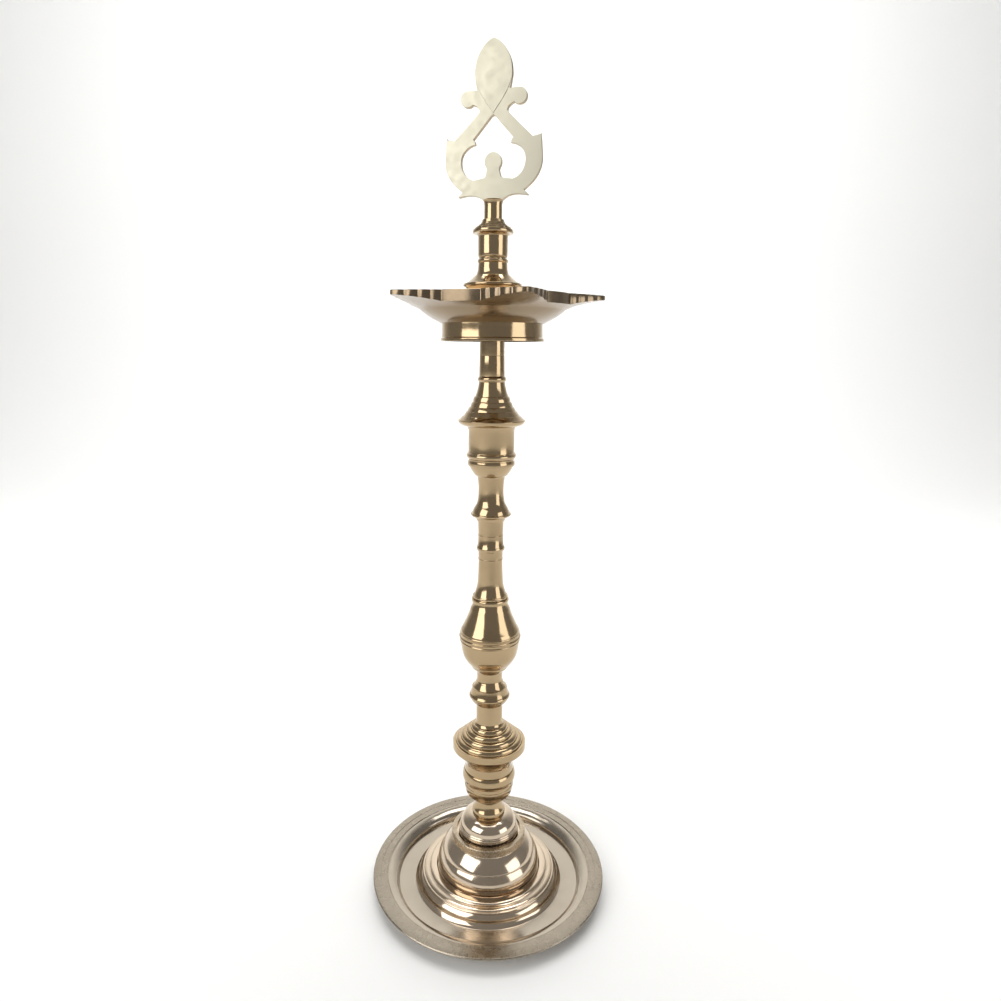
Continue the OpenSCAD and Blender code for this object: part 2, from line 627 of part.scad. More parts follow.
// The opening inside the ring, with the headed post left standing in the middle of it
module plate_opening() {
    top = plate_h;
    apex = [0, top - 38.8];
    apex_side = [1, top - 39.3];
    nub_high = [11.6, top - 51];
    nub = [10.3, top - 53.8];
    side = [ring_hole_r, top - 62.6];
    low = [11.4, 10.8];
    post_low = [4.6, 12.4];
    post_mid = [3.6, 16];
    head = [0, 20.4];
    head_arc = [for (i = [0:8]) let (a = -38 + 16 * i) head + post_head_r * [cos(a), sin(a)]];
    right = concat(
        [apex], [apex_side], [nub_high], [nub + [0.4, 1.6]], [nub],
        curve(nub, nub + [5, -0.6], side + [0, 4.4], side),
        curve(side, side - [0, 5], low + [4.4, 0.9], low),
        curve(low, low - [3, 0.6], post_low + [1.4, -1.2], post_low, 4),
        [post_mid], head_arc);
    polygon(concat(right, mirrored([for (i = [1:len(right) - 1]) right[i]])));
}

// The leaf stands a little proud of the arms that cross behind its point
module leaf_outline() {
    top = plate_h;
    low = [0, top - 38];
    right = concat(
        curve(low, low + [3, 4.4], [leaf_r - 2.6, top - 28], [leaf_r - 0.6, top - 20], 6),
        curve([leaf_r - 0.6, top - 20], [leaf_r + 0.6, top - 9], [5.2, top - 1.6], [0, top], 10));
    polygon(concat([low], right, mirrored([for (i = [0:len(right) - 2]) right[i]])));
}

module upright(thick) {
    rotate([90, 0, 0])
        translate([0, 0, -thick / 2])
            linear_extrude(thick)
                children();
}

module finial() {
    color(cream_brass)
        rotate([0, 0, -plate_turn]) {
            translate([0, 0, pin_top_z]) {
                upright(plate_t)
                    difference() {
                        plate_outline();
                        plate_opening();
                    }
                upright(plate_t + 2 * leaf_proud)
                    leaf_outline();
            }
            tang(past);
        }
}

module base_stud() {
    color(steel)
        stud(base_stud_r, nut_z - run_out, cap_top_z + hold);
}

module lower_stud() {
    color(steel)
        stud(stud_r, baluster_z - grip, baluster_z + hold);
}

module middle_stud() {
    color(steel)
        stud(stud_r, upper_column_z - grip, upper_column_z + hold);
}

module dish_stud() {
    color(steel)
        stud(stud_r, boss_z - grip, dish_floor_z + hold);
}

module base_washer() {
    color(steel)
        translate([0, 0, washer_z])
            difference() {
                cylinder(r = washer_r, h = washer_h);
                translate([0, 0, -past])
                    cylinder(r = base_stud_r + pass_fit, h = washer_h + 2 * past);
            }
}

module base_nut() {
    color(steel)
        translate([0, 0, nut_z])
            difference() {
                cylinder(r = nut_w / 2 / cos(30), h = nut_h, $fn = 6);
                translate([0, 0, -past])
                    cylinder(r = base_stud_r + thread_fit, h = nut_h + 2 * past);
            }
}

base_tray();
dome_cap();
lower_column();
baluster();
upper_column();
dish();
top_stem();
finial();
base_stud();
lower_stud();
middle_stud();
dish_stud();
base_washer();
base_nut();
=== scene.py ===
"""Standing brass oil lamp: the looks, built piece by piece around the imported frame.

Lengths in the dataclasses are millimetres; meshes are built in metres, in the row frame.
"""
from __future__ import annotations

import json
import logging
import math
from dataclasses import dataclass
from enum import Enum
from typing import Callable

import bmesh
import bpy
from mathutils import Matrix, Vector

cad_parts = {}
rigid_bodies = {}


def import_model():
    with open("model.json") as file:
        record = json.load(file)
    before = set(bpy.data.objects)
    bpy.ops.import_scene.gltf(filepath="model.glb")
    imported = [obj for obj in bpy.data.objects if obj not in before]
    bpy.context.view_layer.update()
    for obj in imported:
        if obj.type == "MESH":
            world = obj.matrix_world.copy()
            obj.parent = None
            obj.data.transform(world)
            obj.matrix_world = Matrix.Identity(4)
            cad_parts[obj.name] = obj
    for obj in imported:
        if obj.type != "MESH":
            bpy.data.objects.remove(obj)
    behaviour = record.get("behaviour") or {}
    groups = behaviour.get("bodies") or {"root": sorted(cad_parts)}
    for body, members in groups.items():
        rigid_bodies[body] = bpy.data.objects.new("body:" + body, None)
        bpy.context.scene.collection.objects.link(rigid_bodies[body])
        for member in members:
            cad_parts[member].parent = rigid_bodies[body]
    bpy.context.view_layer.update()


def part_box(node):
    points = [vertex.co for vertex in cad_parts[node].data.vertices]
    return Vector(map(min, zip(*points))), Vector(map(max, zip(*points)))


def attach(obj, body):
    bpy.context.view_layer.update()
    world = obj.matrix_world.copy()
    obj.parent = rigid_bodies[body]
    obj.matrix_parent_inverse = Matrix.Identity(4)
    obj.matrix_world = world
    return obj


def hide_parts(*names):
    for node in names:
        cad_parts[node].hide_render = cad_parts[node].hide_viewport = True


LOG = logging.getLogger("lamp")
MM = 0.001
TURN_SEGMENTS = 192
DISH_SEGMENTS = 900
NUT_SEGMENTS = 96
QUARTER = math.pi / 2
BLEND_BELOW = math.radians(24)
SAME_POINT = 1e-4
ON_AXIS = 1e-5
CLOUD_SCALE = 34.0
SPOT_SCALE = 260.0
WAVE_SCALE = 95.0
FILED_SQUEEZE = 0.04
Point = tuple[float, float]


class Kind(Enum):
    """How a moulding runs from one radius to the next."""

    LINE = "line"
    BOW = "bow"
    RISE = "rise"
    SPREAD = "spread"


@dataclass(frozen=True)
class Step:
    """One moulding: its kind, height, end radius and swell."""

    kind: Kind
    height: float
    radius: float
    swell: float = 0.0

    def points(self, start: Point, count: int = 14) -> list[Point]:
        """Returns the points after start.

        Args:
            start: radius and height where the moulding begins.
            count: points along a curved moulding.

        Returns:
            Radius and height pairs.
        """
        r, z = start
        span = self.radius - r
        out: list[Point] = []
        n = 1 if self.kind is Kind.LINE else count
        for i in range(1, n + 1):
            t = i / n
            turn = math.radians(90 * t)
            if self.kind is Kind.BOW:
                out.append((r + span * t + 4 * self.swell * t * (1 - t), z + self.height * t))
            elif self.kind is Kind.RISE:
                out.append((r + span * (1 - math.cos(turn)), z + self.height * math.sin(turn)))
            elif self.kind is Kind.SPREAD:
                out.append((r + span * math.sin(turn), z + self.height * (1 - math.cos(turn))))
            else:
                out.append((self.radius, z + self.height * t))
        return out


def line(height: float, radius: float) -> Step:
    """A straight moulding.

    Args:
        height: its height in mm.
        radius: the radius it ends at.

    Returns:
        The moulding.
    """
    return Step(Kind.LINE, height, radius)


def bow(height: float, radius: float, swell: float) -> Step:
    """A moulding that swells at its middle.

    Args:
        height: its height in mm.
        radius: the radius it ends at.
        swell: how far its middle stands out.

    Returns:
        The moulding.
    """
    return Step(Kind.BOW, height, radius, swell)


def rise(height: float, radius: float) -> Step:
    """A moulding that leaves upright and ends flat.

    Args:
        height: its height in mm.
        radius: the radius it ends at.

    Returns:
        The moulding.
    """
    return Step(Kind.RISE, height, radius)


def spread(height: float, radius: float) -> Step:
    """A moulding that leaves flat and ends upright.

    Args:
        height: its height in mm.
        radius: the radius it ends at.

    Returns:
        The moulding.
    """
    return Step(Kind.SPREAD, height, radius)


def fillet(radius: float, out: float) -> list[Step]:
    """A small square ring on a shaft.

    Args:
        radius: radius of the shaft.
        out: how far the ring stands out.

    Returns:
        Its mouldings.
    """
    return [line(0, radius + out), line(0.6, radius + out), line(0, radius)]


def bead(radius: float) -> list[Step]:
    """A small round ring on a shaft.

    Args:
        radius: radius of the shaft.

    Returns:
        Its mouldings.
    """
    return [bow(1.4, radius, 0.35)]


def scribed(radius: float) -> list[Step]:
    """A fine cut line round a surface.

    Args:
        radius: radius of the surface.

    Returns:
        Its mouldings.
    """
    return [line(0, radius - 0.25), line(0.5, radius - 0.25), line(0, radius)]


def trace(start: Point, steps: list[Step]) -> list[Point]:
    """Follows mouldings from a start point.

    Args:
        start: radius and height of the first point.
        steps: mouldings from the bottom up.

    Returns:
        The outline, start point included.
    """
    pts = [start]
    for step in steps:
        pts.extend(step.points(pts[-1]))
    return pts


def soften(pts: list[Point], size: float = 0.16) -> list[Point]:
    """Rounds the sharp corners of an outline so that they catch light.

    Args:
        pts: radius and height pairs.
        size: how much of each side a corner uses, in mm.

    Returns:
        The outline with its corners rounded.
    """
    clean = [pts[0]]
    for p in pts[1:]:
        if math.dist(p, clean[-1]) > SAME_POINT:
            clean.append(p)
    out = [clean[0]]
    for a, b, c in zip(clean, clean[1:], clean[2:]):
        ab, bc = Vector(b) - Vector(a), Vector(c) - Vector(b)
        if ab.angle(bc, 0) < BLEND_BELOW:
            out.append(b)
            continue
        cut_a, cut_c = min(size, ab.length * 0.45), min(size, bc.length * 0.45)
        p0, p2, mid = Vector(b) - ab.normalized() * cut_a, Vector(b) + bc.normalized() * cut_c, Vector(b)
        for t in (0.0, 0.25, 0.5, 0.75, 1.0):
            q = p0 * (1 - t) ** 2 + mid * 2 * t * (1 - t) + p2 * t * t
            out.append((max(q.x, 0.0), q.y))
    out.append(clean[-1])
    return out


def cubic(p: Point, q: Point, r: Point, s: Point, n: int = 16) -> list[Point]:
    """Points of a cubic curve after its first.

    Args:
        p, q, r, s: its ends and, between them, its two handles.
        n: how many points.

    Returns:
        The points.
    """
    out = []
    for i in range(1, n + 1):
        t = i / n
        u = 1 - t
        out.append(tuple(u**3 * a + 3 * u * u * t * b + 3 * u * t * t * c + t**3 * d
                         for a, b, c, d in zip(p, q, r, s)))
    return out


def make_object(name: str, mesh: bpy.types.Mesh) -> bpy.types.Object:
    """Puts a mesh in the scene as an untransformed object at the origin.

    Args:
        name: the object's name.
        mesh: its mesh.

    Returns:
        The object.
    """
    obj = bpy.data.objects.new(name, mesh)
    bpy.context.scene.collection.objects.link(obj)
    return obj


def smooth_mesh(name: str, bm: bmesh.types.BMesh, sharp: float | None = None) -> bpy.types.Mesh:
    """Makes a smooth shaded mesh.

    Args:
        name: the mesh's name.
        bm: its faces, which are freed.
        sharp: turn in degrees from which an edge stays sharp, or None for none.

    Returns:
        The mesh.
    """
    mesh = bpy.data.meshes.new(name)
    bm.to_mesh(mesh)
    bm.free()
    mesh.shade_smooth()
    if sharp is not None:
        mesh.set_sharp_from_angle(angle=math.radians(sharp))
    return mesh


def revolve(name: str, outline: list[Point], closed: bool = False,
            segments: int = TURN_SEGMENTS) -> bpy.types.Object:
    """Turns an outline round the lamp's axis.

    Args:
        name: the object's name.
        outline: radius and height in mm. An open one starts and ends on the axis.
        closed: whether the last point joins the first, for a piece with a bore.
        segments: facets round a full turn.

    Returns:
        The new object, smooth shaded except at true corners.
    """
    bm = bmesh.new()
    rings: list[list[bmesh.types.BMVert]] = []
    for r, z in outline:
        if r < ON_AXIS:
            rings.append([bm.verts.new((0, 0, z * MM))])
            continue
        rings.append([bm.verts.new((r * MM * math.cos(2 * math.pi * j / segments),
                                    r * MM * math.sin(2 * math.pi * j / segments), z * MM))
                      for j in range(segments)])
    pairs = list(zip(rings, rings[1:]))
    if closed:
        pairs.append((rings[-1], rings[0]))
    for low, high in pairs:
        for j in range(segments):
            k = (j + 1) % segments
            corners = [low[j % len(low)], low[k % len(low)], high[k % len(high)], high[j % len(high)]]
            unique = list(dict.fromkeys(corners))
            if len(unique) > 2:
                bm.faces.new(unique)
    return make_object(name, smooth_mesh(name, bm, 48))


def joined(first: bpy.types.Object, *others: bpy.types.Object) -> bpy.types.Object:
    """Joins objects into the first one.

    Args:
        first: the object that stays.
        others: the objects that end in it.

    Returns:
        The first object.
    """
    with bpy.context.temp_override(active_object=first, object=first,
                                   selected_objects=[first, *others],
                                   selected_editable_objects=[first, *others]):
        bpy.ops.object.join()
    return first


# ---- finishes


@dataclass(frozen=True)
class Finish:
    """A brass or steel finish with turning lines, handling marks and slight tarnish."""

    name: str
    base: tuple[float, float, float]
    dull: tuple[float, float, float]
    roughness: float
    line_scale: float
    line_depth: float
    tarnish: float
    wave: float = 0.45
    filed: bool = False

    def material(self) -> bpy.types.Material:
        """Builds the node material once and returns it.

        Returns:
            The material.
        """
        found = bpy.data.materials.get(self.name)
        if found:
            return found
        mat = bpy.data.materials.new(self.name)
        mat.use_nodes = True
        nt = mat.node_tree
        nodes, links = nt.nodes, nt.links
        shader = nodes["Principled BSDF"]
        shader.inputs["Metallic"].default_value = 1.0
        place = nodes.new("ShaderNodeTexCoord").outputs["Object"]
        marks = self._marks(nodes, links, place)
        rings = self._noise(nodes, links, marks, self.line_scale, 3.0)
        fine = self._noise(nodes, links, marks, self.line_scale * 2.3, 1.0)
        cloud = self._noise(nodes, links, place, CLOUD_SCALE, 5.0)
        spots = self._noise(nodes, links, place, SPOT_SCALE, 4.0)
        tint = nodes.new("ShaderNodeMapRange")
        tint.inputs["From Min"].default_value = 0.52
        tint.inputs["From Max"].default_value = 0.74
        tint.inputs["To Max"].default_value = self.tarnish
        links.new(cloud, tint.inputs["Value"])
        colour = nodes.new("ShaderNodeMix")
        colour.data_type = "RGBA"
        colour.inputs["A"].default_value = (*self.base, 1)
        colour.inputs["B"].default_value = (*self.dull, 1)
        links.new(tint.outputs["Result"], colour.inputs["Factor"])
        links.new(colour.outputs["Result"], shader.inputs["Base Color"])
        rough = nodes.new("ShaderNodeMapRange")
        rough.inputs["From Min"].default_value = 0.35
        rough.inputs["From Max"].default_value = 0.72
        rough.inputs["To Min"].default_value = self.roughness * 0.88
        rough.inputs["To Max"].default_value = self.roughness * 1.3
        links.new(spots, rough.inputs["Value"])
        links.new(rough.outputs["Result"], shader.inputs["Roughness"])
        wave = nodes.new("ShaderNodeBump")
        wave.inputs["Strength"].default_value = 0.5
        wave.inputs["Distance"].default_value = self.wave * MM
        swell = self._noise(nodes, links, place, WAVE_SCALE, 1.0)
        links.new(swell, wave.inputs["Height"])
        total = nodes.new("ShaderNodeMath")
        total.operation = "MULTIPLY_ADD"
        total.inputs[1].default_value = 0.2
        links.new(fine, total.inputs[0])
        links.new(rings, total.inputs[2])
        bump = nodes.new("ShaderNodeBump")
        bump.inputs["Strength"].default_value = 0.6
        bump.inputs["Distance"].default_value = self.line_depth * MM
        links.new(total.outputs[0], bump.inputs["Height"])
        links.new(wave.outputs[0], bump.inputs["Normal"])
        links.new(bump.outputs[0], shader.inputs["Normal"])
        return mat

    def _marks(self, nodes: bpy.types.Nodes, links: bpy.types.NodeLinks,
               place: bpy.types.NodeSocket) -> bpy.types.NodeSocket:
        """Lays out the tool marks: rings round the axis when turned, level lines when filed.

        Args:
            nodes: the material's nodes.
            links: the material's links.
            place: the socket with the place on the piece.

        Returns:
            The socket that the marks are read from.
        """
        split = nodes.new("ShaderNodeSeparateXYZ")
        links.new(place, split.inputs[0])
        across = nodes.new("ShaderNodeVectorMath")
        if self.filed:
            across.operation = "SCALE"
            across.inputs["Scale"].default_value = FILED_SQUEEZE
            links.new(place, across.inputs[0])
            first = nodes.new("ShaderNodeSeparateXYZ")
            links.new(across.outputs["Vector"], first.inputs[0])
            out_x = first.outputs["X"]
        else:
            flat = nodes.new("ShaderNodeCombineXYZ")
            links.new(split.outputs["X"], flat.inputs["X"])
            links.new(split.outputs["Y"], flat.inputs["Y"])
            across.operation = "LENGTH"
            links.new(flat.outputs[0], across.inputs[0])
            out_x = across.outputs["Value"]
        marks = nodes.new("ShaderNodeCombineXYZ")
        links.new(out_x, marks.inputs["X"])
        links.new(split.outputs["Z"], marks.inputs["Y"])
        return marks.outputs[0]

    @staticmethod
    def _noise(nodes: bpy.types.Nodes, links: bpy.types.NodeLinks, vector: bpy.types.NodeSocket,
               scale: float, detail: float) -> bpy.types.NodeSocket:
        """Adds a noise texture and returns its Factor socket.

        Args:
            nodes: the material's nodes.
            links: the material's links.
            vector: the socket with the place.
            scale: features to a metre.
            detail: octaves added.

        Returns:
            The Factor socket.
        """
        noise = nodes.new("ShaderNodeTexNoise")
        noise.inputs["Scale"].default_value = scale
        noise.inputs["Detail"].default_value = detail
        links.new(vector, noise.inputs["Vector"])
        return noise.outputs["Fac"]


class Brass(Enum):
    """The finishes the lamp shows."""

    PALE = Finish("brass_pale", (0.62, 0.51, 0.39), (0.47, 0.37, 0.26), 0.11, 900, 0.012, 0.4)
    TRAY = Finish("brass_tray", (0.42, 0.365, 0.295), (0.34, 0.28, 0.21), 0.15, 1100, 0.030, 0.35)
    RIM = Finish("brass_rim", (0.34, 0.295, 0.235), (0.27, 0.225, 0.17), 0.25, 1200, 0.030, 0.35)
    LIP = Finish("brass_lip", (0.46, 0.38, 0.28), (0.37, 0.29, 0.20), 0.26, 1200, 0.014, 0.4)
    WARM = Finish("brass_warm", (0.45, 0.335, 0.20), (0.32, 0.225, 0.125), 0.12, 900, 0.010, 0.45)
    DARK = Finish("brass_dark", (0.27, 0.205, 0.135), (0.21, 0.155, 0.10), 0.20, 1400, 0.008, 0.4, 0.12)
    CREAM = Finish("brass_cream", (0.54, 0.51, 0.405), (0.47, 0.43, 0.32), 0.34, 650, 0.030, 0.3, 0.06,
                   True)
    CUT = Finish("brass_cut_edge", (0.40, 0.31, 0.20), (0.31, 0.23, 0.14), 0.30, 1200, 0.015, 0.4)
    STEEL = Finish("steel_plain", (0.55, 0.56, 0.58), (0.40, 0.39, 0.38), 0.28, 1600, 0.010, 0.4)


def dress(obj: bpy.types.Object, finish: Brass, body: str, slot: str, *nodes: str) -> bpy.types.Object:
    """Gives a piece its finish and ties it to the frame.

    Args:
        obj: the finished piece.
        finish: its finish.
        body: the frame body that it moves with.
        slot: the record's material slot; not used.
        nodes: the frame nodes that it stands for.

    Returns:
        The same object.
    """
    if not obj.data.materials:
        obj.data.materials.append(finish.value.material())
    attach(obj, body)
    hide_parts(*nodes)
    return obj


def paint_zones(obj: bpy.types.Object, zone: Callable[[float, float], Brass]) -> None:
    """Gives each face of a turned piece the finish of its zone.

    Args:
        obj: the piece.
        zone: takes a face's radius and height in mm and returns its finish.
    """
    slots: list[Brass] = []
    for face in obj.data.polygons:
        c = face.center
        finish = zone(math.hypot(c.x, c.y) / MM, c.z / MM)
        if finish not in slots:
            slots.append(finish)
            obj.data.materials.append(finish.value.material())
        face.material_index = slots.index(finish)


def height_range(node: str) -> tuple[float, float]:
    """Lowest and highest point of a frame node, in mm.

    Args:
        node: its name.

    Returns:
        The two heights.
    """
    low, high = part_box(node)
    return low.z / MM, high.z / MM


# ---- column sections


@dataclass
class Section:
    """A turned section with a blind thread at each end."""

    node: str
    body: str
    foot_r: float
    low_bore: float
    low_depth: float
    high_bore: float
    high_depth: float
    finish: Brass = Brass.WARM
    slot: str = "warm_brass"

    def mouldings(self) -> list[Step]:
        """The section's mouldings from the bottom up.

        Returns:
            The mouldings.
        """
        raise NotImplementedError

    def outline(self) -> list[Point]:
        """The section's outline from axis to axis, scaled to the frame's height.

        Returns:
            Radius and height pairs.
        """
        low, high = height_range(self.node)
        pts = trace((self.foot_r, 0.0), self.mouldings())
        stretch = (high - low) / pts[-1][1]
        pts = [(r, low + z * stretch) for r, z in pts]
        return soften([(0, low + self.low_depth), (self.low_bore, low + self.low_depth),
                       (self.low_bore, low),
                       *pts, (self.high_bore, high), (self.high_bore, high - self.high_depth),
                       (0, high - self.high_depth)])

    def build(self) -> bpy.types.Object:
        """Builds and dresses the section.

        Returns:
            The piece.
        """
        obj = revolve(f"{self.node}_turned", self.outline())
        return dress(obj, self.finish, self.body, self.slot, self.node)


@dataclass
class LowerColumn(Section):
    """Bell, drum, stepped disc and long neck."""

    bell_r: float = 11.2
    neck_r: float = 8.9
    drum_r: float = 16.6
    drum_h: float = 27.0
    disc_r: float = 24.5
    shaft_r: float = 8.7
    steps: int = 4

    def mouldings(self) -> list[Step]:
        """See Section."""
        flat = self.drum_h - 20.8
        width = (self.disc_r - 1 - self.shaft_r - 1.4) / self.steps
        rows = [bow(1.2, self.bell_r, 0.1), bow(2.4, self.bell_r - 0.2, 0.1),
                bow(5.8, self.neck_r, -0.4), line(1.6, self.neck_r),
                *fillet(self.neck_r, 0.4), *bead(self.neck_r + 0.2),
                line(0, self.drum_r - 5.2), bow(4, self.drum_r - 1.2, 0.8), bow(6, self.drum_r, 0.3),
                line(0, self.drum_r - 0.3), line(2.4, self.drum_r - 0.3), line(0, self.drum_r + 0.1),
                bow(8.4, self.drum_r + 0.2, 1.1), line(0, self.drum_r),
                *scribed(self.drum_r - 0.1), line(flat - 0.5, self.drum_r - 0.1),
                line(0, self.drum_r + 0.3),
                bow(9.4, self.disc_r - 0.9, -0.9), bow(1, self.disc_r, 0.1),
                bow(4.4, self.disc_r - 0.2, 0.1)]
        for i in range(1, self.steps + 1):
            rows += [line(0, self.disc_r - 1 - width * (i - 0.7)), rise(3, self.disc_r - 1 - width * i)]
        return rows + [line(0, self.shaft_r + 1.2), bow(2.2, self.shaft_r, -0.2), line(13, self.shaft_r)]


@dataclass
class Baluster(Section):
    """Ring foot, bulb with fine rings, collar and slender neck."""

    ring_r: float = 13.7
    neck_r: float = 8.4
    bulb_r: float = 19.3
    collar_r: float = 11.8
    slender_r: float = 7.7
    slender_h: float = 34.6

    def mouldings(self) -> list[Step]:
        """See Section."""
        rows = [bow(4, self.ring_r - 1.2, 0.5), bow(3.4, self.ring_r - 1, 0.9),
                bow(4.6, self.ring_r - 2.2, -0.1),
                line(0, self.ring_r - 2.8), bow(4, self.neck_r + 0.5, -0.2), bow(2, self.neck_r, -0.1),
                bow(5, self.neck_r + 0.3, -0.1), bow(2.8, self.neck_r + 2.6, -0.3),
                line(0, self.neck_r + 3.2),
                bow(2.4, self.bulb_r - 6.5, 0.2), line(0, self.bulb_r - 6.1),
                bow(9, self.bulb_r - 1.1, 0.8), bow(7.4, self.bulb_r, 0.1)]
        for i in range(3):
            rows += [bow(1.4, self.bulb_r, 0.8 if i == 1 else 0.35), line(1.2, self.bulb_r - 0.1 * i)]
        rows += [bow(14.8, self.collar_r + 0.9, -0.5), bow(4.2, self.collar_r - 0.5, -0.2),
                 line(0, self.collar_r), bow(2.6, self.collar_r, 0.3), line(0, self.collar_r - 0.9),
                 line(0.6, self.collar_r - 1.2), line(0, self.collar_r - 0.6),
                 bow(1.4, self.collar_r - 0.7, 0.2),
                 line(0, self.collar_r - 1.2),
                 bow(10, self.slender_r + 0.5, -0.5), bow(self.slender_h - 20.8, self.slender_r, -0.1),
                 *fillet(self.slender_r, 0.25), line(5, self.slender_r + 0.2), line(0.6, 8.3)]
        return rows


@dataclass
class UpperColumn(Section):
    """Small ring, spool, drum, flared skirt, tapering steps and shaft."""

    shaft_r: float = 7.9
    spool_r: float = 12.9
    drum_r: float = 14.3
    skirt_r: float = 20.6
    top_r: float = 7.5

    def mouldings(self) -> list[Step]:
        """See Section."""
        s, d, k = self.spool_r, self.drum_r, self.skirt_r
        return [bow(2.4, 8.7, 0.3), line(1, self.shaft_r + 0.3), line(6, self.shaft_r),
                *fillet(self.shaft_r, 0.25), line(9.2, self.shaft_r + 0.3),
                line(0, s - 4), bow(2.6, s - 3.1, 0.1), line(0, s - 1.8), bow(2.4, s - 0.6, 1),
                line(0, s - 1.2),
                bow(4.4, s - 3.1, 0.3), bow(3, self.shaft_r + 0.6, -0.1),
                bow(14.6, self.shaft_r + 0.6, -0.6),
                rise(2.2, d - 4), bow(6, d - 0.4, 0.3), line(0, d + 0.2), bow(3, d + 0.2, 0.2),
                line(0, d - 0.1),
                line(1.2, d - 0.1), bow(4, d, 1.2), line(13.6, d - 0.1), bow(2.6, d + 0.9, 0),
                spread(3.4, k), line(0.3, k), bow(2.5, k - 2.8, -0.2), line(0, k - 3.3),
                bow(2.8, k - 5.2, 0),
                line(0, k - 5.7), bow(2.6, k - 7, 0.1), line(0, k - 7.5), bow(3, k - 8.6, 0.1),
                line(0, k - 9.1),
                bow(3.2, k - 9.9, 0.2), line(0, k - 10.4), bow(8.8, self.shaft_r, -0.3),
                bow(3.4, self.shaft_r - 0.2, 0.8), line(0.6, self.top_r + 0.3), line(11.5, self.top_r)]


@dataclass
class TopStem(Section):
    """Pedestal in the dish, flare, ringed stem, disc and pin."""

    foot_out_r: float = 18.0
    flare_r: float = 17.3
    stem_r: float = 8.7
    disc_r: float = 11.9
    pin_r: float = 5.2

    def mouldings(self) -> list[Step]:
        """See Section."""
        drum, f, r, d, p = self.foot_out_r - 3, self.flare_r, self.stem_r, self.disc_r, self.pin_r
        return [line(1.6, self.foot_out_r), spread(1.4, drum), line(13.6, drum), rise(3, f),
                bow(1.4, f - 0.3, 0.2), line(0, f - 1), bow(4.6, r + 1.9, -0.4), line(0, r + 1.3),
                bow(4.6, r, -0.3),
                line(2.4, r - 0.2), bow(2.4, r - 0.4, 0.6), line(0.6, r - 0.6), spread(2.4, r),
                line(9.1, r),
                rise(1.8, r + 1.9), line(0, d - 0.3), bow(2.2, d - 0.3, 0.3), line(0, d - 0.9),
                line(1.2, d - 1.4),
                line(0, p + 3.6), line(1.4, p + 3.2), line(0, p + 2.2), line(1.2, p + 1.9),
                line(0, p + 1.4),
                line(1.6, p + 1.3), line(0, p + 0.1), line(7.2, p), rise(3.6, p + 1.1)]


# ---- base


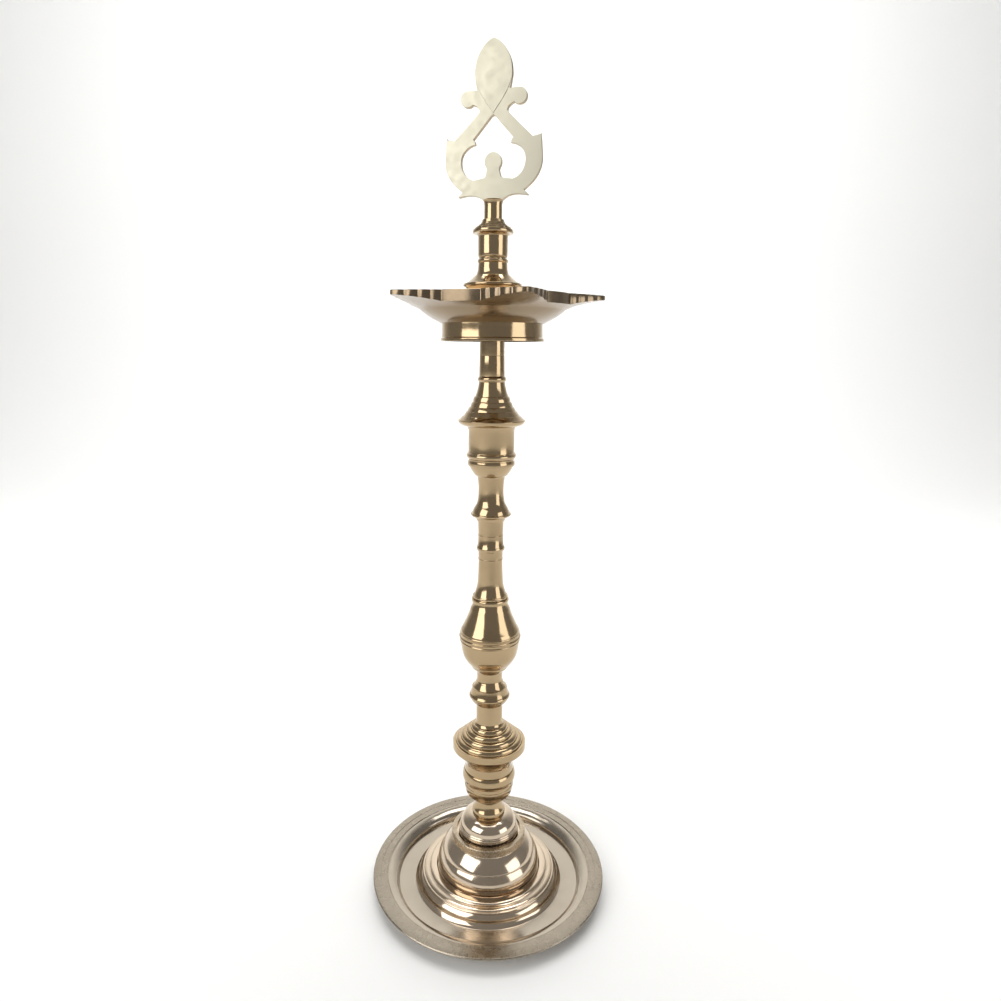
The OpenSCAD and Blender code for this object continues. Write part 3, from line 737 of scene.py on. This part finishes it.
@dataclass
class BaseTray:
    """Tray, plinth, dome and seat ring, one hollow casting."""

    tray_r: float = 80.0
    rim_w: float = 10.3
    rim_t: float = 1.6
    wall_w: float = 7.7
    foot_h: float = 1.0
    floor_z: float = 3.0
    tray_h: float = 10.2
    plinth_r: float = 48.3
    plinth_flare: float = 2.6
    plinth_h: float = 7.8
    ring_r: float = 40.6
    dome_r: float = 35.0
    dome_h: float = 24.2
    seat_ring_r: float = 25.2
    seat_ring_h: float = 5.0
    seat_r: float = 22.0
    seat_depth: float = 2.4
    shell: float = 2.4
    bore: float = 4.3

    def outline(self) -> list[Point]:
        """Closed outline of the casting.

        Returns:
            Radius and height pairs.
        """
        rim_in = self.tray_r - self.rim_w
        floor_r = rim_in - self.wall_w
        mid = self.tray_r - self.rim_w / 2
        rim_low = self.tray_h - self.rim_t
        n = 20
        under = [(floor_r + 1 + (self.wall_w + 1) * math.sin(QUARTER * i / n),
                  self.foot_h + (rim_low - self.foot_h) * (1 - math.cos(QUARTER * i / n)))
                 for i in range(1, n + 1)]
        inner = [(rim_in - self.wall_w * math.sin(QUARTER * i / n),
                  self.floor_z + (self.tray_h - 0.8 - self.floor_z) * math.cos(QUARTER * i / n))
                 for i in range(n + 1)]
        p, g = self.plinth_r, self.ring_r
        plinth = trace((p + self.plinth_flare, self.floor_z), [
            bow(3, p, -0.4), bow(self.plinth_h - 4, p - 2.2, 0.5), rise(1, p - 3), line(0, p - 3.6),
            line(0.3, p - 3.7),
            rise(0.9, p - 6), line(0, p - 6.6), line(0.3, g), rise(1.1, g - 1.6),
            line(0, self.dome_r + 0.9), line(-1.8, self.dome_r + 0.3), line(0, self.dome_r - 0.8)])
        plinth_z = self.floor_z + self.plinth_h
        dome_top = plinth_z + self.dome_h
        cut = plinth_z + self.dome_h * 0.62
        dome_z = plinth_z + 0.8
        dome = trace((self.dome_r - 0.8, dome_z), [
            bow(cut - dome_z, self.dome_r - 3.2, 1.9), *scribed(self.dome_r - 3.2),
            bow(dome_top - cut - 0.5, self.seat_ring_r + 0.3, 0.8), line(0, self.seat_ring_r),
            line(self.seat_ring_h - 0.6, self.seat_ring_r), rise(0.6, self.seat_ring_r - 0.6),
            line(0, self.seat_r), line(-self.seat_depth, self.seat_r)])
        seat_z = dome_top + self.seat_ring_h - self.seat_depth
        d, w = self.dome_r, self.shell
        inside = [(self.bore, seat_z), (self.bore, seat_z - w), (self.seat_r, seat_z - w),
                  (d - 3.2 - w, cut - w / 2), (d - w, plinth_z + self.dome_h * 0.3), (d - w, plinth_z),
                  (g - w, plinth_z - w / 2), (p - w - 2, plinth_z - w), (p - w, self.floor_z),
                  (p - w, self.foot_h),
                  (floor_r - 4, self.foot_h), (floor_r - 4, 0)]
        rim = [(self.tray_r - 0.5, rim_low), (self.tray_r, rim_low + 0.5), (self.tray_r, self.tray_h - 0.5),
               (self.tray_r - 0.5, self.tray_h), (mid, self.tray_h), (mid, self.tray_h - 0.3),
               (rim_in + 0.5, self.tray_h - 0.3)]
        return soften([(floor_r, 0.0), (floor_r + 1, self.foot_h), *under, *rim, *inner, *plinth, *dome,
                       *inside])

    def build(self) -> bpy.types.Object:
        """Builds and dresses the casting.

        Returns:
            The piece.
        """
        obj = revolve("base_tray_cast", self.outline(), closed=True, segments=256)
        rim_in = self.tray_r - self.rim_w
        seat_low = self.floor_z + self.plinth_h + self.dome_h

        def zone(r: float, z: float) -> Brass:
            """Finish at a radius and height in mm."""
            if r > rim_in + 0.3:
                return Brass.RIM
            if r > self.plinth_r + self.plinth_flare:
                return Brass.TRAY
            return Brass.LIP if z > seat_low and r > self.seat_r + 0.5 else Brass.PALE

        paint_zones(obj, zone)
        return dress(obj, Brass.PALE, "base", "pale_brass", "base_tray")


@dataclass
class DomeCap:
    """Small loose dome in the seat."""

    r: float = 19.3
    lip_r: float = 20.4
    wall: float = 2.6
    bore: float = 4.3

    def build(self) -> bpy.types.Object:
        """Builds and dresses the cap.

        Returns:
            The piece.
        """
        low, high = height_range("dome_cap")
        out = trace((self.r, low), [
            line(1.3, self.r), line(0, self.lip_r), line(2.9, self.lip_r), line(0, self.r + 0.4),
            *bead(self.r + 0.2), *bead(self.r), rise(high - low - 7.0, 10.0)])
        inner, top, base = self.r - self.wall, high - self.wall, low + 4.2
        hollow = [(self.bore + (inner - self.bore) * math.sin(QUARTER * i / 16),
                   base + (top - base) * math.cos(QUARTER * i / 16)) for i in range(17)]
        outline = soften([(inner, low), *out, (self.bore, high), *hollow])
        obj = revolve("dome_cap_turned", outline, closed=True)
        paint_zones(obj, lambda r, z: Brass.LIP if r > self.r + 0.9 else Brass.PALE)
        return dress(obj, Brass.PALE, "cap", "pale_brass", "dome_cap")


# ---- dish


@dataclass
class Dish:
    """Shallow dish with wick spouts whose edges are cut into lobes."""

    tip_r: float = 66.2
    side_r: float = 48.6
    floor_r: float = 30.6
    height: float = 16.4
    wall: float = 1.8
    tip_t: float = 2.4
    spring: float = 8.0
    spouts: int = 5
    turn: float = 285.0
    lobes: int = 4
    lobe_d: float = 0.9
    lobed_share: float = 0.62
    taper: float = 1.2
    bore: float = 3.3
    foot_r: float = 31.0
    foot_h: float = 10.2
    foot_t: float = 2.2
    boss_r: float = 7.5

    def plan(self, degrees: float) -> float:
        """Radius of the rim at an angle from the first spout.

        Args:
            degrees: the angle.

        Returns:
            The radius in mm.
        """
        half = 180 / self.spouts
        u = abs(degrees - 2 * half * round(degrees / (2 * half))) / half
        v = min(u / self.lobed_share, 1.0)
        return self.side_r + (self.tip_r - self.side_r) * (1 - v) ** self.taper + \
            self.lobe_d * abs(math.sin(math.pi * self.lobes * v))

    def lower(self, lift: float) -> list[Point]:
        """Radius and height of the round lower bowl, up to where the spouts spring.

        Args:
            lift: 0 outside, the wall inside.

        Returns:
            Radius and height pairs.
        """
        width = (self.side_r - self.floor_r) * 0.7
        start = (self.floor_r - lift / 2, lift)
        return [start, *cubic(start, (start[0] + width * 0.18, lift + 1.4),
                              (self.floor_r + width * 0.63, self.spring * 0.45 + lift),
                              (self.floor_r + width, self.spring + lift), 14)]

    def flank(self, lift: float, rim: float) -> list[Point]:
        """Radius and height from the lower bowl out to the rim's upright edge at one angle.

        Args:
            lift: 0 outside, the wall inside.
            rim: radius at the rim.

        Returns:
            Radius and height pairs.
        """
        start = self.lower(lift)[-1]
        top = self.height - self.tip_t + lift
        side = [start, *cubic(start, (start[0] + 4.4, start[1] + 2.4), (self.side_r + 7, top - 1.2),
                              (self.tip_r + 1, top), 24)]
        out = []
        for i in range(1, 13):
            r = start[0] + (rim - start[0]) * i / 12
            k = next(n for n in range(1, len(side)) if side[n][0] >= r - 1e-9)
            (r0, z0), (r1, z1) = side[k - 1], side[k]
            out.append((r, z0 + (z1 - z0) * (r - r0) / (r1 - r0)))
        return out

    def shell(self, base_z: float) -> bpy.types.Object:
        """Builds the lobed dish itself.

        Args:
            base_z: height of the dish's underside in mm.

        Returns:
            The casting.
        """
        outer, inner = self.lower(0), self.lower(self.wall)
        n = DISH_SEGMENTS
        edge = 0.25
        bm = bmesh.new()
        columns = []
        for j in range(n):
            a = 360 * j / n
            rad = math.radians(a + self.turn)
            full = self.plan(a)
            out = [*outer, *self.flank(0, full)]
            lining = [*inner, *self.flank(self.wall, full - self.wall)]
            pts = [(self.bore, 0.0), *out, (full, self.height - edge), (full - edge, self.height),
                   (full - self.wall + edge, self.height), (full - self.wall, self.height - edge),
                   *[(r, min(z, self.height - edge)) for r, z in reversed(lining)], (self.bore, self.wall)]
            columns.append([bm.verts.new((r * MM * math.cos(rad), r * MM * math.sin(rad),
                                          (base_z + z) * MM))
                            for r, z in pts])
        rows = len(columns[0])
        for j in range(n):
            a, b = columns[j], columns[(j + 1) % n]
            for i in range(rows):
                k = (i + 1) % rows
                bm.faces.new((a[i], b[i], b[k], a[k]))
        return make_object("dish_cast", smooth_mesh("dish_shell", bm, 40))

    def build(self) -> bpy.types.Object:
        """Builds and dresses the dish with its foot ring and boss.

        Returns:
            The piece.
        """
        low, high = height_range("dish")
        base = high - self.height
        f, t = self.foot_r, self.foot_t
        foot_z = base - self.foot_h
        joint = base + 0.4
        foot = revolve("dish_foot", soften([
            (f - t, foot_z), (f, foot_z), (f, foot_z + 1.6), (f - 0.8, foot_z + 2.2),
            (f - 0.9, base - 1.4), (self.floor_r - 0.4, joint), (f - t, joint)]), closed=True)
        boss = revolve("dish_boss", soften([(self.bore, low), (self.boss_r, low), (self.boss_r, joint),
                                            (self.bore, joint)]), closed=True)
        foot.data.materials.append(Brass.WARM.value.material())
        boss.data.materials.append(Brass.WARM.value.material())
        cast = self.shell(base)
        cast.data.materials.append(Brass.DARK.value.material())
        obj = joined(cast, foot, boss)
        return dress(obj, Brass.DARK, "dish_body", "dark_brass", "dish")


# ---- finial


@dataclass
class Finial:
    """Flat plate with an open ring, a headed post and a raised leaf."""

    thick: float = 3.2
    height: float = 83.5
    turn: float = 15.0
    leaf_r: float = 11.2
    knob_r: float = 4.3
    ring_r: float = 28.4
    hole_r: float = 18.9
    head_r: float = 5.0
    pin_r: float = 5.2
    tang_h: float = 7.0
    tang_w: float = 6.0
    proud: float = 0.3

    @staticmethod
    def _mirror(pts: list[Point]) -> list[Point]:
        """The other half of a symmetrical outline.

        Args:
            pts: one half.

        Returns:
            The half on the other side.
        """
        return [(-x, y) for x, y in reversed(pts)]

    def outer(self) -> list[Point]:
        """The plate's outside.

        Returns:
            Points in the plane of the plate.
        """
        top = self.height
        knob = (self.leaf_r + 3.7, top - 29.9)
        arm = (8.4, top - 37.4)
        notch = (self.ring_r - 5.6, top - 51.2)
        wing = (self.ring_r - 1.1, top - 50.3)
        side = (self.ring_r, top - 62.4)
        low_notch = (self.ring_r - 10.2, 4.7)
        spike = (self.ring_r - 8, 1.8)
        foot = (self.pin_r + 0.8, 0.0)
        pts = [foot, *cubic(foot, (foot[0] + 3, 2.2), (12, 3.6), spike),
               (spike[0] + 0.4, spike[1] + 0.5), low_notch,
               *cubic(low_notch, (low_notch[0] + 5, low_notch[1] + 3.6), (side[0], side[1] - 8), side),
               *cubic(side, (side[0], side[1] + 4), (wing[0] - 0.1, wing[1] + 4), wing), notch,
               *cubic(notch, (notch[0] - 4, notch[1] + 4), (arm[0] + 3.4, arm[1] - 4), arm, 12),
               *cubic(arm, (arm[0] - 1, arm[1] + 1.4), (knob[0] - 5.4, knob[1] - 3.6),
                      (knob[0] - 2.9, knob[1] - 3.1), 8)]
        pts += [(knob[0] + self.knob_r * math.cos(math.radians(-120 + 11 * i)),
                 knob[1] + self.knob_r * math.sin(math.radians(-120 + 11 * i))) for i in range(21)]
        start = (self.leaf_r - 1.9, top - 25.8)
        wide = (self.leaf_r - 0.6, top - 20)
        pts += [start,
                *cubic(start, (self.leaf_r - 1.3, top - 24.4), (self.leaf_r - 0.9, top - 21.6), wide, 6),
                *cubic(wide, (self.leaf_r + 0.6, top - 9), (5.2, top - 1.6), (0, top), 20)]
        return pts + self._mirror(pts[:-1])

    def opening(self) -> list[Point]:
        """The opening, with the headed post left standing.

        Returns:
            Points in the plane of the plate.
        """
        top = self.height
        nub = (10.3, top - 53.8)
        side = (self.hole_r, top - 62.6)
        low = (11.4, 10.8)
        post = (4.6, 12.4)
        pts = [(0.0, top - 38.8), (1.0, top - 39.3), (11.6, top - 51), (nub[0] + 0.4, nub[1] + 1.6), nub,
               *cubic(nub, (nub[0] + 5, nub[1] - 0.6), (side[0], side[1] + 4.4), side),
               *cubic(side, (side[0], side[1] - 5), (low[0] + 4.4, low[1] + 0.9), low),
               *cubic(low, (low[0] - 3, low[1] + 0.6), (post[0] + 1.4, post[1] - 1.2), post, 8),
               (3.6, 16.0)]
        head_z = 20.4
        pts += [(self.head_r * math.cos(math.radians(-38 + 8 * i)),
                 head_z + self.head_r * math.sin(math.radians(-38 + 8 * i))) for i in range(17)]
        return pts + self._mirror(pts[1:])

    def leaf(self) -> list[Point]:
        """The raised leaf.

        Returns:
            Points in the plane of the plate.
        """
        top = self.height
        low = (0.0, top - 38.0)
        wide = (self.leaf_r - 0.6, top - 20)
        pts = [low, *cubic(low, (3, low[1] + 4.4), (self.leaf_r - 2.6, top - 28), wide, 14),
               *cubic(wide, (self.leaf_r + 0.6, top - 9), (5.2, top - 1.6), (0, top), 20)]
        return pts + self._mirror(pts[1:-1])

    def _slab(self, name: str, loops: list[list[Point]], thick: float) -> bpy.types.Object:
        """A flat slab with eased edges, standing upright.

        Args:
            name: its name.
            loops: its outside and its openings.
            thick: its thickness in mm.

        Returns:
            The slab.
        """
        ease = 0.18
        curve = bpy.data.curves.new(name, "CURVE")
        curve.dimensions = "2D"
        curve.fill_mode = "BOTH"
        for pts in loops:
            spline = curve.splines.new("POLY")
            spline.points.add(len(pts) - 1)
            for point, (x, y) in zip(spline.points, pts):
                point.co = (x * MM, y * MM, 0, 1)
            spline.use_cyclic_u = True
        curve.extrude = (thick / 2 - ease) * MM
        curve.bevel_depth = ease * MM
        curve.bevel_resolution = 2
        curve.offset = -ease * MM
        temp = bpy.data.objects.new(name, curve)
        bpy.context.scene.collection.objects.link(temp)
        mesh = bpy.data.meshes.new_from_object(temp.evaluated_get(bpy.context.evaluated_depsgraph_get()))
        bpy.data.objects.remove(temp)
        mesh.transform(Matrix.Rotation(math.radians(90), 4, "X"))
        obj = make_object(name, mesh)
        obj.data.materials.clear()
        return obj

    def build(self) -> bpy.types.Object:
        """Builds and dresses the finial.

        Returns:
            The piece.
        """
        _, high = height_range("finial")
        plate = self._slab("finial_plate", [self.outer(), self.opening()], self.thick)
        leaf = self._slab("finial_leaf", [self.leaf()], self.thick + 2 * self.proud)
        tang = self._slab("finial_tang",
                          [[(-self.tang_w / 2, -self.tang_h), (self.tang_w / 2, -self.tang_h),
                                           (self.tang_w / 2, 1.0), (-self.tang_w / 2, 1.0)]], self.thick)
        obj = joined(plate, leaf, tang)
        obj.data.transform(Matrix.Translation((0, 0, (high - self.height) * MM)) @
                           Matrix.Rotation(-math.radians(self.turn), 4, "Z"))
        mesh = obj.data
        mesh.materials.append(Brass.CREAM.value.material())
        mesh.materials.append(Brass.CUT.value.material())
        across = Vector((math.sin(math.radians(self.turn)), math.cos(math.radians(self.turn)), 0))
        for face in mesh.polygons:
            face.material_index = 0 if abs(face.normal.dot(across)) > 0.6 else 1
        mesh.shade_smooth()
        mesh.set_sharp_from_angle(angle=math.radians(30))
        return dress(obj, Brass.CREAM, "top", "cream_brass", "finial")


# ---- studs, nut and washer


class ThreadRule:
    """Geometry Nodes rule that winds a thread round a rod."""

    def __init__(self) -> None:
        """Builds the node group once."""
        self.group = bpy.data.node_groups.new("thread_rule", "GeometryNodeTree")
        g = self.group
        sockets = g.interface
        self.ids = {}
        for name, kind in (("Core", "NodeSocketFloat"), ("Height", "NodeSocketFloat"),
                           ("Pitch", "NodeSocketFloat"),
                           ("Crest", "NodeSocketFloat"), ("Material", "NodeSocketMaterial")):
            self.ids[name] = sockets.new_socket(name, in_out="INPUT", socket_type=kind).identifier
        sockets.new_socket("Geometry", in_out="OUTPUT", socket_type="NodeSocketGeometry")
        n, link = g.nodes, g.links.new
        src, dst = n.new("NodeGroupInput"), n.new("NodeGroupOutput")
        spiral = n.new("GeometryNodeCurveSpiral")
        spiral.inputs["Resolution"].default_value = 28
        turns = n.new("ShaderNodeMath")
        turns.operation = "DIVIDE"
        link(src.outputs["Height"], turns.inputs[0])
        link(src.outputs["Pitch"], turns.inputs[1])
        link(turns.outputs[0], spiral.inputs["Rotations"])
        link(src.outputs["Height"], spiral.inputs["Height"])
        link(src.outputs["Core"], spiral.inputs["Start Radius"])
        link(src.outputs["Core"], spiral.inputs["End Radius"])
        ridge = n.new("GeometryNodeCurvePrimitiveCircle")
        ridge.inputs["Resolution"].default_value = 6
        link(src.outputs["Crest"], ridge.inputs["Radius"])
        tube = n.new("GeometryNodeCurveToMesh")
        tube.inputs["Fill Caps"].default_value = True
        link(spiral.outputs[0], tube.inputs["Curve"])
        link(ridge.outputs["Curve"], tube.inputs["Profile Curve"])
        real = n.new("GeometryNodeRealizeInstances")
        link(tube.outputs[0], real.inputs[0])
        paint = n.new("GeometryNodeSetMaterial")
        link(real.outputs[0], paint.inputs["Geometry"])
        link(src.outputs["Material"], paint.inputs["Material"])
        link(paint.outputs[0], dst.inputs[0])

    def thread(self, name: str, core: float, low: float, high: float, pitch: float,
               crest: float) -> bpy.types.Object:
        """Makes one thread as a plain mesh, sizes in mm.

        Args:
            name: its name.
            core: radius it is wound on.
            low, high: its two ends.
            pitch: rise in one turn.
            crest: radius of the ridge.

        Returns:
            The thread.
        """
        holder = make_object(name, bpy.data.meshes.new(name))
        mod = holder.modifiers.new("rule", "NODES")
        mod.node_group = self.group
        for key, value in (("Core", core * MM), ("Height", (high - low) * MM), ("Pitch", pitch * MM),
                           ("Crest", crest * MM), ("Material", Brass.STEEL.value.material())):
            mod[self.ids[key]] = value
        mesh = bpy.data.meshes.new_from_object(holder.evaluated_get(bpy.context.evaluated_depsgraph_get()))
        holder.modifiers.clear()
        holder.data = mesh
        mesh.transform(Matrix.Translation((0, 0, low * MM)))
        mesh.shade_smooth()
        return holder


@dataclass
class Stud:
    """A threaded rod."""

    node: str
    body: str
    r: float
    pitch: float = 1.0

    def build(self, rule: ThreadRule) -> bpy.types.Object:
        """Builds and dresses the rod.

        Args:
            rule: the rule that winds its thread.

        Returns:
            The piece.
        """
        low, high = height_range(self.node)
        crest = self.pitch * 0.32
        core = self.r - crest
        chamfer = self.r * 0.2
        end_r = self.r - chamfer - 0.2
        rod = revolve(f"{self.node}_rod", soften([
            (0, low), (end_r, low), (core, low + chamfer),
            (core, high - chamfer), (end_r, high), (0, high)], 0.1), segments=64)
        rod.data.materials.append(Brass.STEEL.value.material())
        thread = rule.thread(f"{self.node}_thread", core, low + chamfer + 0.3, high - chamfer - 0.3,
                             self.pitch, crest)
        return dress(joined(rod, thread), Brass.STEEL, self.body, "steel", self.node)


@dataclass
class Fixings:
    """The nut and washer under the dome."""

    flats: float = 13.0
    washer_r: float = 9.0
    washer_bore: float = 4.3
    nut_bore: float = 4.05
    chamfer: float = 0.7

    def build(self) -> None:
        """Builds and dresses both."""
        low, high = height_range("base_washer")
        bore, rim = self.washer_bore, self.washer_r
        washer = revolve("base_washer_ring", soften([(bore, low), (rim, low), (rim, high), (bore, high)]),
                         closed=True)
        dress(washer, Brass.STEEL, "base", "steel", "base_washer")
        low, high = height_range("base_nut")
        bm = bmesh.new()
        n = NUT_SEGMENTS
        corner = self.flats / 2 / math.cos(math.radians(30))
        rows = []
        face_r = self.flats / 2 - 0.2
        for r_out, z, hexed in ((self.nut_bore, low, 0), (face_r, low, 0), (0, low + self.chamfer, 1),
                                (0, high - self.chamfer, 1), (face_r, high, 0), (self.nut_bore, high, 0)):
            row = []
            for j in range(n):
                a = 2 * math.pi * j / n
                turn = a + math.pi / 6
                flat = self.flats / 2 / math.cos((turn % (math.pi / 3)) - math.pi / 6) if hexed else r_out
                flat = min(flat, corner - 0.15)
                row.append(bm.verts.new((flat * MM * math.cos(turn), flat * MM * math.sin(turn), z * MM)))
            rows.append(row)
        for i in range(len(rows)):
            a, b = rows[i], rows[(i + 1) % len(rows)]
            for j in range(n):
                bm.faces.new((a[j], a[(j + 1) % n], b[(j + 1) % n], b[j]))
        nut = make_object("base_nut_hex", smooth_mesh("base_nut_hex", bm, 25))
        dress(nut, Brass.STEEL, "base", "steel", "base_nut")


# ---- studio


@dataclass
class Studio:
    """Pale floor that curves up behind, an even surround, four large soft lights and the camera."""

    distance: float = 0.4321
    height: float = 0.3654
    pitch: float = 12.1
    roll: float = 0.45
    lens: float = 25.28
    shift_x: float = 0.0095
    surround: float = 0.28

    def _world(self) -> None:
        """One even pale grey surround, the same for every kind of ray."""
        world = bpy.data.worlds.new("studio")
        bpy.context.scene.world = world
        world.use_nodes = True
        light = world.node_tree.nodes["Background"]
        light.inputs["Color"].default_value = (1.0, 0.99, 0.97, 1)
        light.inputs["Strength"].default_value = self.surround

    def _floor(self) -> None:
        """A plain pale floor with a curved back wall and no edge between them."""
        turn_y, bend, wide = 1.3, 0.9, 6.0
        rows = [(-5.0, 0.0), (0.0, 0.0)]
        rows += [(turn_y + bend * math.sin(math.pi * i / 48), bend * (1 - math.cos(math.pi * i / 48)))
                 for i in range(25)]
        rows.append((turn_y + bend, 4.0))
        bm = bmesh.new()
        edge = [[bm.verts.new((x, y, z - 0.0002)) for y, z in rows] for x in (-wide, wide)]
        for k in range(len(rows) - 1):
            bm.faces.new((edge[0][k], edge[1][k], edge[1][k + 1], edge[0][k + 1]))
        floor = make_object("floor", smooth_mesh("floor", bm))
        mat = bpy.data.materials.new("floor_pale")
        mat.use_nodes = True
        shader = mat.node_tree.nodes["Principled BSDF"]
        shader.inputs["Base Color"].default_value = (0.93, 0.93, 0.92, 1)
        shader.inputs["Roughness"].default_value = 0.9
        floor.data.materials.append(mat)

    def _light(self, name: str, at: tuple[float, float, float], aim: tuple[float, float, float],
               size: float, power: float) -> None:
        """A large soft area light.

        Args:
            name: name of the light.
            at: where it stands, in metres.
            aim: the point it faces.
            size: length of its side in metres.
            power: its power in watts.
        """
        data = bpy.data.lights.new(name, "AREA")
        data.size = size
        data.energy = power
        lamp = bpy.data.objects.new(name, data)
        lamp.location = at
        lamp.rotation_euler = (Vector(aim) - Vector(at)).to_track_quat("-Z", "Y").to_euler()
        bpy.context.scene.collection.objects.link(lamp)

    def build(self) -> None:
        """Builds the studio."""
        self._floor()
        self._world()
        middle = (0.0, 0.0, 0.25)
        self._light("key", (-1.65, -1.35, 1.25), middle, 1.65, 25.0)
        self._light("fill", (1.95, -1.05, 0.65), middle, 1.3, 11.0)
        self._light("top", (0.0, 0.2, 2.5), middle, 1.8, 20.0)
        self._light("backdrop", (0.0, 0.5, 1.9), (0.0, 2.2, 0.8), 1.6, 30.0)
        data = bpy.data.cameras.new("camera")
        data.lens = self.lens
        data.sensor_width = 36
        data.shift_x = self.shift_x
        data.clip_start = 0.01
        cam = bpy.data.objects.new("camera", data)
        cam.matrix_world = (Matrix.Translation((0, -self.distance, self.height)) @
                            Matrix.Rotation(math.radians(90 - self.pitch), 4, "X") @
                            Matrix.Rotation(math.radians(self.roll), 4, "Z"))
        bpy.context.scene.collection.objects.link(cam)
        bpy.context.scene.camera = cam
        bpy.context.scene.view_settings.view_transform = "Standard"


def main() -> None:
    """Builds the lamp, its studio and its camera."""
    logging.basicConfig(level=logging.INFO)
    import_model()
    BaseTray().build()
    DomeCap().build()
    LowerColumn("lower_column", "lower", 10.4, 4.05, 13.5, 3.05, 10.5).build()
    Baluster("baluster", "middle", 9.5, 3.05, 13.5, 3.05, 10.5).build()
    UpperColumn("upper_column", "upper", 8.7, 3.05, 13.5, 3.05, 10.5).build()
    Dish().build()
    TopStem("top_stem", "top", 18.0, 3.05, 13.5, 2.6, 7.0).build()
    Finial().build()
    rule = ThreadRule()
    Stud("base_stud", "base", 4.0, 1.25).build(rule)
    Stud("lower_stud", "lower", 3.0).build(rule)
    Stud("middle_stud", "middle", 3.0).build(rule)
    Stud("dish_stud", "upper", 3.0).build(rule)
    Fixings().build()
    Studio().build()


if __name__ == "__main__":
    main()
